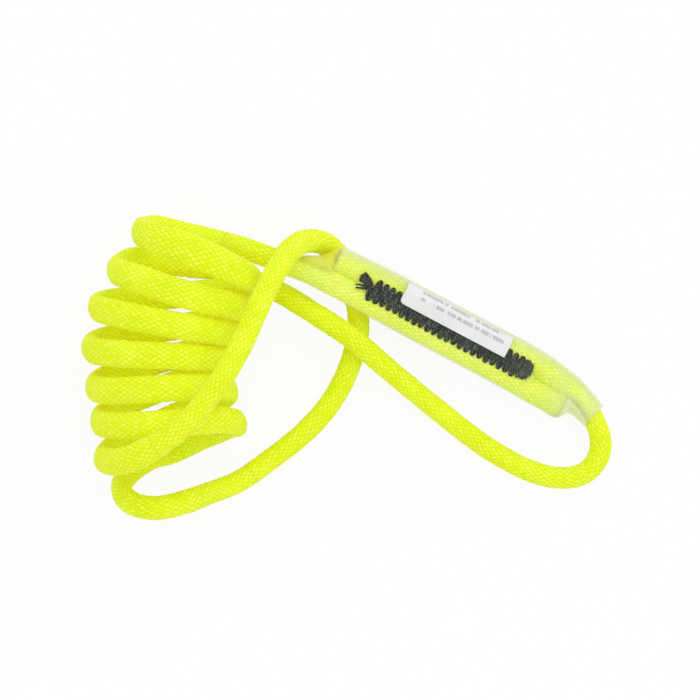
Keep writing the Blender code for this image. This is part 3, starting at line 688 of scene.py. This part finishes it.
def tipMaterial():
    n = newMaterial("fused_tip")
    cloud = n.noise(700.0, 3.0)
    colour = n.ramp(cloud, [(0.30, (0.56, 0.38, 0.08)), (0.48, (0.74, 0.62, 0.06)),
                            (0.66, (0.82, 0.78, 0.12)), (0.80, (0.90, 0.86, 0.66))])
    n.bump(cloud, 0.00025, 0.6)
    n.set(Base_Color=colour, Roughness=n.plus(0.18, n.times(cloud, 0.35)),
          Coat_Weight=0.4, Coat_Roughness=0.15)
    return n.owner


def makeTip(name, settings, material):
    # A ball pressed flat against the braid and bulging a little past it
    room = int(round(braid["tipRoom"] / cordRowData["step"])) + 1
    k = room if settings["atStart"] else len(cordRowData["along"]) - 1 - room
    out = Vector(cordRowData["tangent"][k]) * (-1 if settings["atStart"] else 1)
    middle, side, guide = (Vector(cordRowData[key][k]) for key in ("middle", "side", "guide"))
    wide, thick = (float(half) + tipShape["proud"] for half in cordRowData["halves"][k])
    rng = np.random.default_rng(settings["seed"])
    waves = rng.uniform(0, 6.28, 6)
    shape = bmesh.new()
    bmesh.ops.create_uvsphere(shape, u_segments=tipShape["segments"], v_segments=tipShape["rings"],
                              radius=1.0)
    for vert in shape.verts:
        x, y, z = vert.co
        angle, reach = math.atan2(y, x), math.hypot(x, y)
        edge = 1 + 0.03 * math.sin(3 * angle + waves[0]) + 0.02 * math.sin(8 * angle + waves[1])
        reach = reach ** tipShape["fullness"] * edge
        rise = z * (settings["rise"] if z > 0 else tipShape["sunk"])
        rise += tipShape["lump"] * max(z, 0) * math.sin(x * 5 + waves[2]) * math.cos(y * 4 + waves[3])
        vert.co = (middle + side * (math.cos(angle) * reach * wide)
                   + guide * (math.sin(angle) * reach * thick) + out * rise)
    piece = finishMesh(name, meshFrom(name, shape), material)
    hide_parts(settings["node"])


tipLook = tipMaterial()
for tipName, tipSettings in tips.items():
    makeTip(f"melted_tip_{tipName}", tipSettings, tipLook)
print("tips done")


# Sewing: a thick zigzag of three threads on each face of the splice

seam = {"start": 0.005675, "pitch": 0.0019, "rows": 46, "middle": 0.0002, "half": 0.0031, "height": 0.00238,
        "thread": 0.00024, "flat": 0.72, "leg": 0.00029, "spread": 0.00035, "room": 0.00014,
        "sway": 0.00006, "rise": 0.00005, "lobe": 0.00028, "curveStep": 0.00016,
        "leadIn": ((0.0047, 0.0008), (0.0047, -0.0002), (0.00475, -0.0011), (0.0048, -0.0019)),
        "parts": (0.0, 0.07, 0.15, 0.32, 0.5, 0.68, 0.85, 0.93, 1.0)}


def threadMaterial():
    n = newMaterial("stitch_thread")
    along, around, _ = n.split(n.add("ShaderNodeUVMap", uv_map="UVMap").outputs["UV"])
    turn = n.plus(n.times(along, 1900.0), n.times(around, 12.566))
    twist = n.plus(n.times(n.math("SINE", turn), 0.5), 0.5)
    cloud = n.noise(1500.0, 3.0)
    # Streaks along the stitches, so that single threads show: painted highlights along some threads and along
    # the twist, and painted shade between threads, over tone that differs at random from thread to thread
    lie = n.add("ShaderNodeVectorMath", (n.attribute("lie", "Vector"), (2300.0, 420.0, 900.0)),
                operation="MULTIPLY")
    streak = n.noise(1.0, roughness=0.6, vector=lie.outputs[0])
    level = n.plus(n.times(twist, 0.22), n.times(streak, 0.95), clamp=True)
    colour = n.ramp(level, [(0.40, (0.001, 0.002, 0.002)), (0.58, (0.010, 0.018, 0.016)),
                            (0.80, (0.120, 0.135, 0.140))])
    n.bump(level, 0.00008, 0.6)
    n.set(Base_Color=colour, Roughness=n.plus(0.42, n.times(cloud, 0.3)), Sheen_Weight=0.02,
          Sheen_Roughness=0.5, Specular_IOR_Level=0.25)
    return n.owner


def zigzag(face, strand, ends, rng):
    # One thread of the seam: nearly straight across, then round in a tight lobe at each side
    gap, height = seam["pitch"] / 2, seam["height"]
    # It comes out of the tuft and goes down to the first lobe
    points = [(u - strand * 0.00044, v, face * (height + 0.0001 + v * 0.02)) for u, v in seam["leadIn"]]
    points += [(0.00484 - strand * 0.00014, -0.0025, face * (height + 0.0001)),
               (0.00506, -0.0028 + strand * 0.0001, face * (height - 0.0003))]
    for row in range(seam["rows"]):
        side = 1 if row % 2 == 0 else -1
        u = seam["start"] + gap * row
        sway = rng.uniform(-seam["sway"], seam["sway"])
        for part in seam["parts"]:
            out = abs(2 * part - 1)
            fan = 0.32 + 0.68 * min(1.0, (1 - out) / 0.36)
            reach = seam["half"] - seam["thread"] - seam["room"] + ends[row + int(part > 0.5)]
            lift = height + 0.00016 * (1 - out) + 0.00010 * abs(strand) * out
            lift += rng.uniform(-seam["rise"], seam["rise"])
            across = (part - 0.5) * (gap - 2 * seam["leg"])
            points.append((u + across + side * strand * seam["spread"] * fan + sway,
                           seam["middle"] + side * (2 * part - 1) * reach, face * lift))
        # The outer thread goes round further than the inner one
        reach += 0.00010 - 0.00012 * side * strand
        points.append((u + gap / 2, seam["middle"] + side * reach, face * (height - seam["lobe"])))
    return np.array(points[:-1])


def fineCurve(points, step):
    knots = chordKnots(points)
    return smoothCurve(knots, points)(np.linspace(0, knots[-1], max(4, int(knots[-1] / step))))


def threadMesh(name, runs, face):
    # Threads are curves with a round bevel, then pressed flatter under the sleeve
    data = bpy.data.curves.new(name, "CURVE")
    data.dimensions = "3D"
    data.bevel_depth, data.bevel_resolution, data.use_fill_caps = 1.0, 2, True
    for points, radii in runs:
        spline = data.splines.new("POLY")
        spline.points.add(len(points) - 1)
        spline.points.foreach_set("co", np.column_stack([points, np.ones(len(points))]).ravel())
        spline.points.foreach_set("radius", np.broadcast_to(radii, len(points)).astype(np.float32))
    drawn = addObject(name, data)
    mesh = bpy.data.meshes.new_from_object(drawn.evaluated_get(bpy.context.evaluated_depsgraph_get()))
    bpy.data.objects.remove(drawn)
    bpy.data.curves.remove(data)
    places = np.empty(len(mesh.vertices) * 3)
    mesh.vertices.foreach_get("co", places)
    places = places.reshape(-1, 3)
    places[:, 2] = face * seam["height"] + (places[:, 2] - face * seam["height"]) * seam["flat"]
    lie = mesh.attributes.new("lie", "FLOAT_VECTOR", "POINT")
    lie.data.foreach_set("vector", places.astype(np.float32).ravel())
    mesh.vertices.foreach_set("co", inSplice(places).ravel())
    mesh.update()
    mesh.shade_smooth()
    return mesh


# Cut ends at the start of the seam, in millimetres: a dense brush with a ragged end, then two loose
# wisps. Each runs from its root through a bend to its tip, and each pair of points is its two sides
tufts = [{"count": 60, "ragged": True, "radius": 0.15,
          "run": (((3.6, 0.2), (5.2, 0.7)), ((2.4, 0.5), (3.8, 2.6)), ((0.9, 0.7), (1.3, 3.4)))},
         {"count": 7, "ragged": False, "radius": 0.12,
          "run": (((4.2, 0.5), (4.3, 0)), ((2.3, 0.3), (2.5, -0.2)), ((0.6, -0.5), (0.5, -0.7)))},
         {"count": 7, "ragged": False, "radius": 0.12,
          "run": (((4.3, 0.1), (4.5, -0.4)), ((2.6, -0.3), (2.8, -0.7)), ((1.1, -1.2), (1.0, -1.4)))}]


def cutTuft(rng):
    runs = []
    for tuft in tufts:
        for k in range(tuft["count"]):
            side = (k + rng.uniform(0, 1)) / tuft["count"]
            lift = seam["height"] + rng.uniform(-0.0001, 0.0004)
            ends = []
            for first, last in np.array(metres(tuft["run"])):
                ends.append(np.array((*(first * (1 - side) + last * side + rng.normal(0, 0.00007, 2)), lift)))
            start, middle, end = ends
            if tuft["ragged"]:
                end[:2] += (end[:2] - middle[:2]) * (rng.uniform(-0.12, 0.10) + 0.14 * math.sin(4.5 * side))
            end[2] -= 0.0002
            share = np.linspace(0, 1, 9)[:, None]
            points = (1 - share) ** 2 * start + 2 * share * (1 - share) * middle + share ** 2 * end
            runs.append((points, metres(tuft["radius"]) * (1 - 0.45 * share[:, 0] ** 2)))
    return runs


# Locking stitches at the seam's far end, and the fuzz on them
clump = {"reaches": (0.0022, 0.0025, 0.00255, 0.0025, 0.00245, 0.0023, 0.0021, 0.0018, 0.0014, 0.0009),
         "after": 0.0005, "step": 0.00028, "middle": 0.0004, "crown": 0.00036, "fall": 0.00070,
         "radius": 0.00029, "fuzz": 30, "fuzzPlace": 0.0021, "fuzzSize": (0.0008, 0.0020),
         "fuzzRadius": 0.00004}


def endClump(face, rng):
    runs = []
    far = seam["start"] + seam["pitch"] / 2 * (seam["rows"] - 1)
    for k, reach in enumerate(clump["reaches"]):
        u = far + clump["after"] + clump["step"] * k
        reach += rng.uniform(-0.0001, 0.0001)
        lean = rng.uniform(-0.0002, 0.0002)
        points = [(u + lean * s, clump["middle"] + reach * s,
                   face * (seam["height"] + clump["crown"] - clump["fall"] * abs(s) ** 3))
                  for s in np.linspace(-1, 1, 9)]
        runs.append((np.array(points), clump["radius"] + 0.00003 * np.cos(np.linspace(-1.5, 1.5, 9))))
    long, wide = clump["fuzzSize"]
    for _ in range(clump["fuzz"]):
        angle = rng.uniform(-2.2, 2.2)
        start = np.array((far + clump["fuzzPlace"] + long * math.cos(angle),
                          clump["middle"] + wide * math.sin(angle), face * (seam["height"] + 0.0001)))
        way = np.array((math.cos(angle) + rng.normal(0, 0.5), math.sin(angle) + rng.normal(0, 0.5), 0.0))
        end = start + way * rng.uniform(0.0003, 0.0007)
        share = np.linspace(0, 1, 6)[:, None]
        curl = np.array((-way[1], way[0], 0.0)) * rng.normal(0, 0.00022)
        points = start + (end - start) * share + curl * share * (1 - share) * 4
        runs.append((points, clump["fuzzRadius"] - 0.000015 * share[:, 0]))
    return runs


def makeSeam(name, node, face, material):
    rng = np.random.default_rng(5 if face > 0 else 6)
    ends = rng.uniform(-0.00022, 0.00012, seam["rows"] + 1)
    runs = [(fineCurve(zigzag(face, strand, ends, rng), seam["curveStep"]), seam["thread"])
            for strand in (-1, 0, 1)]
    runs += endClump(face, rng)
    if face > 0:
        runs += cutTuft(rng)
    piece = finishMesh(name, threadMesh(name, runs, face), material)
    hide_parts(node)
    print(name, len(piece.data.polygons), "faces")


threadLook = threadMaterial()
makeSeam("zigzag_thread_front", "needle_thread", 1, threadLook)
makeSeam("zigzag_thread_back", "bobbin_thread", -1, threadLook)
print("sewing done")


# Label: a thin sheet over the upper cord, wrapped round its outer side to the back

label = {"start": 0.0126, "end": 0.0434, "front": 0.00055, "back": -0.0015, "corner": 0.0011,
         "height": 0.00318, "edge": 0.00672, "thick": 0.00012,
         "lines": ((0.0034, 0.00046), (0.0053, 0.00042)), "lineRoom": (0.0045, 0.0020)}


def labelMaterial():
    n = newMaterial("label_sheet")
    along, across, _ = n.split(n.attribute("sheet", "Vector"))
    grain = n.noise(2600.0, 3.0)
    tone = n.noise(120.0, 1.0)
    paper = n.ramp(n.plus(n.times(grain, 0.4), n.times(tone, 0.6)),
                   [(0.35, (0.76, 0.77, 0.78)), (0.65, (0.83, 0.84, 0.85))])
    # Two rows of plain grey bars where such a label is printed
    printed = 0.0
    for k, (row, half) in enumerate(label["lines"]):
        near = n.math("LESS_THAN", n.math("ABSOLUTE", n.math("SUBTRACT", across, row)), half)
        bars = n.noise(1.0, vector=n.combine(n.times(along, 800.0), 17.3 * (k + 1)))
        inside = n.times(n.math("GREATER_THAN", along, label["start"] + label["lineRoom"][0]),
                         n.math("LESS_THAN", along, label["end"] - label["lineRoom"][1]))
        mark = n.times(near, n.times(n.math("GREATER_THAN", bars, 0.43), inside))
        printed = n.plus(mark, printed)
    ink = n.plus(0.30, n.times(n.noise(1900.0, 1.0), 0.5))
    n.bump(grain, 0.00002, 0.4)
    n.set(Base_Color=n.mix(n.times(printed, ink), paper, (0.30, 0.31, 0.33)),
          Roughness=n.plus(0.38, n.times(grain, 0.2)))
    return n.owner


def makeLabel():
    # Across the sheet: flat over the cord, round its outer side, and back underneath
    bend = label["edge"] - label["height"]
    across = [(label["front"], label["height"])]
    across += [(bend + label["height"] * math.sin(a), label["height"] * math.cos(a))
               for a in np.linspace(0, math.pi, 30)]
    across += [(label["back"], -label["height"])]
    reach = chordKnots(across)
    shape = bmesh.new()
    sheet = shape.verts.layers.float_vector.new("sheet")
    bmesh.ops.create_grid(shape, x_segments=72, y_segments=56, size=1.0)
    for vert in shape.verts:
        share, run = (vert.co.x + 1) / 2, (vert.co.y + 1) / 2 * reach[-1]
        v, height = (np.interp(run, reach, [p[k] for p in across]) for k in (0, 1))
        inset = max(0.0, label["corner"] - run)
        cut = label["corner"] - math.sqrt(max(0.0, label["corner"] ** 2 - inset ** 2))
        u = label["start"] + cut + (label["end"] - label["start"] - cut) * share
        ripple = 0.00005 * math.sin(u * 520 + run * 300) + 0.00003 * math.sin(u * 1330 - run * 500)
        vert.co = inSplice((u, v, height * (1 + ripple / label["height"])))
        vert[sheet] = (u, run, 0.0)
    mesh = meshFrom("printed_label", shape, outward=False)
    piece = finishMesh("printed_label", mesh, labelMaterial())
    wall = piece.modifiers.new("thickness", "SOLIDIFY")
    wall.thickness, wall.offset = label["thick"], 0.0
    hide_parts("label")


makeLabel()
print("label done")


# Sleeve: clear tube shrunk over both cords, drawn in hollow curves past each cut end

sleeve = {"wall": 0.00025, "around": 80, "step": 0.00055, "sewnFrom": 0.0008, "sewnTo": 0.0545,
          "sewnFade": 0.0025, "sewnSide": 0.0017, "sewnLift": 0.00085}

# Lower edge, upper edge and half depth of the sleeve's section, in millimetres, and how milky it is
sleeveStations = [
    (-16.5, -7.25, -15.7, -1.15, 3.05, 0.07), (-14.7, -7.05, -14, 0.05, 3.05, 0.05),
    (-12.4, -6.8, -12.2, 0.95, 3.02, 0.05), (-10.7, -6.68, -10.5, 1.95, 2.95, 0.05),
    (-9.4, -6.62, -9.2, 3.3, 2.85, 0.05), (-8.3, -6.6, -8, 5.1, 2.75, 0.05),
    (-7, -6.6, -6.6, 6.35, 2.65, 0.03), (-5, -6.6, -5, 6.6, 2.55, 0.02), (0, -6.62, 0, 6.75, 2.58, 0.012),
    (8, -6.65, 8, 7, 2.65, 0.01), (20, -6.7, 20, 7.05, 2.72, 0.01), (32, -6.72, 32, 7.05, 2.75, 0.01),
    (44, -6.75, 44, 7.05, 2.68, 0.012), (50, -6.85, 50, 7, 2.62, 0.02), (55, -6.95, 55, 6.6, 2.58, 0.03),
    (60, -7, 60.5, 5.75, 2.58, 0.05), (62.8, -7, 63.4, 5.18, 2.65, 0.06),
    (64, -6.1, 64.8, 4.78, 2.68, 0.07), (64.8, -4.8, 66.2, 4.3, 2.72, 0.08),
    (66, -4.3, 67.8, 3.65, 2.78, 0.09), (67.5, -4.4, 69.4, 3, 2.86, 0.1), (69, -4.8, 70.8, 2.4, 2.95, 0.1),
    (70.4, -5.3, 72.4, 1.7, 3.02, 0.1),
]

# The film is thicker where it spans a cut end, and yellow there
film = {"pale": (0.84, 0.93, 0.52), "yellow": (0.87, 0.88, 0.06), "nearWeb": 0.52, "farWeb": 0.55,
        "rim": 0.64, "least": 0.008}


def sleeveMaterial():
    n = newMaterial("clear_sleeve")
    rim = n.add("ShaderNodeLayerWeight", {"Blend": 0.5})
    haze, tint, edge = n.split(n.attribute("film", "Vector"))
    cloud = n.noise(210.0, 3.0)
    haze = n.times(haze, n.plus(0.5, cloud))
    edge = n.times(n.math("POWER", rim.outputs["Facing"], 1.3), edge)
    tint = n.times(tint, n.plus(0.2, n.times(cloud, 1.6), clamp=True))
    n.bump(n.noise(420.0), 0.00006, 0.35)
    n.set(Alpha=n.plus(haze, edge, clamp=True), Base_Color=n.mix(tint, film["pale"], film["yellow"]),
          Roughness=n.plus(0.12, n.times(cloud, 0.2)), Specular_IOR_Level=0.5)
    return n.owner


def filmAt(u, v, haze, rim):
    # Haze, tint and strength of the edge at points of the sleeve
    edge = np.interp(u, [-0.0160, -0.0105, -0.0050], [-0.0025, -0.0020, -0.0014])
    notch = np.interp(v, [0.0010, 0.0030], [-0.0058, -0.0068])
    near = unit((v - edge) / 0.0018) * unit((notch - u) / 0.0014)
    inner = np.interp(u, [0.0630, 0.0646, 0.0673, 0.0693, 0.0708],
                      [-0.0004, -0.0010, -0.0020, -0.0032, -0.0044])
    far = unit((inner - v) / 0.0006) * unit((u - 0.0628) / 0.0008)
    lead = unit((-0.0110 - u) / 0.0030) * (1 - near)
    milk = 0.22 * unit((v - 0.0034) / 0.0024) + 0.16 * unit((u - 0.056) / 0.006)
    # The edge shows least at the near cut end, beside the web and over the label
    rim = rim * np.where(v < 0, np.interp(u, [0.0, 0.015], [0.12, 0.8]), 1.0)
    rim = rim * (1 - 0.75 * unit((v + 0.0035) / 0.001) * unit((-0.0055 - u) / 0.0015))
    bare = 1 - (unit((v - 0.0045) / 0.001) * unit((u - label["start"]) / 0.001)
                * unit((label["end"] - u) / 0.001))
    return np.stack([np.maximum(haze, film["least"]) + milk + film["nearWeb"] * near + film["farWeb"] * far,
                     unit(3 * near + 0.9 * lead + 0.1 * far), film["rim"] * (0.3 + 0.7 * bare) * rim], axis=1)


def makeSleeve():
    stations = np.array([(*metres(s[:5]), s[5]) for s in sleeveStations])
    lows, highs, rest = (stations[:, k:k + 2].copy() for k in (0, 2, 4))
    knots = chordKnots((lows + highs) / 2)
    low, high, deep = (smoothCurve(knots, values) for values in (lows, highs, rest))
    angle = 2 * np.pi * np.arange(sleeve["around"]) / sleeve["around"]
    rings, films = [], []
    for place in np.linspace(0, knots[-1], int(knots[-1] / sleeve["step"])):
        a, b, (depth, haze) = low(place), high(place), deep(place)
        middle, half = (a + b) / 2, (b - a) / 2
        length = np.linalg.norm(half)
        flat = max(length - depth * 1.25, 0.0) / length
        reach = np.cos(angle) * (1 - flat) + flat * np.clip(np.cos(angle) * 1.8, -1, 1)
        rise = np.sign(np.sin(angle)) * np.abs(np.sin(angle)) ** 0.8
        u, v = middle[0] + half[0] * reach, middle[1] + half[1] * reach
        # The sewing holds the sleeve up along the middle
        off = unit((np.abs(v - seam["middle"]) - seam["half"]) / sleeve["sewnSide"])
        sewn = (unit((u - sleeve["sewnFrom"]) / sleeve["sewnFade"])
                * unit((sleeve["sewnTo"] - u) / sleeve["sewnFade"]))
        lift = depth + (1 - eased(off)) * sewn * sleeve["sewnLift"]
        lift *= 1 + 0.012 * np.sin(place * 900 + 2 * np.sin(angle)) * (1 - sewn)
        rings.append(inSplice(np.stack([u, v, lift * rise], axis=1)))
        films.append(filmAt(u, v, haze, unit((np.abs(np.cos(angle)) - 0.35) / 0.3)))
    shape = bmesh.new()
    milky = shape.verts.layers.float_vector.new("film")
    for ring, values in zip(loftRings(shape, rings), films):
        for vert, value in zip(ring, values):
            vert[milky] = value
    mesh = meshFrom("shrunk_sleeve", shape)
    piece = finishMesh("shrunk_sleeve", mesh, sleeveMaterial())
    wall = piece.modifiers.new("wall", "SOLIDIFY")
    wall.thickness, wall.offset = sleeve["wall"], -1.0
    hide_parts("clear_sleeve")


makeSleeve()
print("sleeve done")


# Floor and light

studio = {"floor": 1.6, "floorHeight": -0.00005, "white": (0.93, 0.93, 0.93), "glow": 0.90, "world": 0.85,
          "sun": 0.6, "softness": 60.0, "sunTurn": (-26.0, 22.0, 0.0)}


def seenDirectly(n):
    # 1 for rays from the camera, mirrors and clear things
    path = n.add("ShaderNodeLightPath")
    total = path.outputs["Is Camera Ray"]
    for name in ("Is Glossy Ray", "Is Transmission Ray"):
        total = n.plus(total, path.outputs[name], clamp=True)
    return total


def makeFloor():
    shape = bmesh.new()
    bmesh.ops.create_grid(shape, x_segments=1, y_segments=1, size=studio["floor"])
    bmesh.ops.translate(shape, verts=shape.verts, vec=(0.0, 0.0, studio["floorHeight"]))
    mesh = meshFrom("floor", shape, outward=False)
    n = newMaterial("floor_white")
    n.set(Base_Color=studio["white"], Roughness=0.9, Specular_IOR_Level=0.1)
    share = n.times(seenDirectly(n), studio["glow"])
    both = n.add("ShaderNodeMixShader", (share, n.shader.outputs[0], n.add("ShaderNodeEmission").outputs[0]))
    n.put(both.outputs[0], n.tree.nodes["Material Output"].inputs["Surface"])
    mesh.materials.append(n.owner)
    addObject("floor", mesh)


def makeLights():
    n = Nodes(bpy.data.worlds.new("studio"), "Background")
    level = n.add("ShaderNodeMapRange", {"Value": seenDirectly(n), "To Min": studio["world"], "To Max": 1.0})
    n.set(Color=(1.0, 1.0, 1.0), Strength=level.outputs[0])
    bpy.context.scene.world = n.owner
    lamp = bpy.data.lights.new("soft_sun", "SUN")
    lamp.energy, lamp.angle = studio["sun"], math.radians(studio["softness"])
    addObject("soft_sun", lamp).rotation_euler = [math.radians(angle) for angle in studio["sunTurn"]]


makeFloor()
makeLights()
bpy.context.scene.view_settings.view_transform = "Standard"
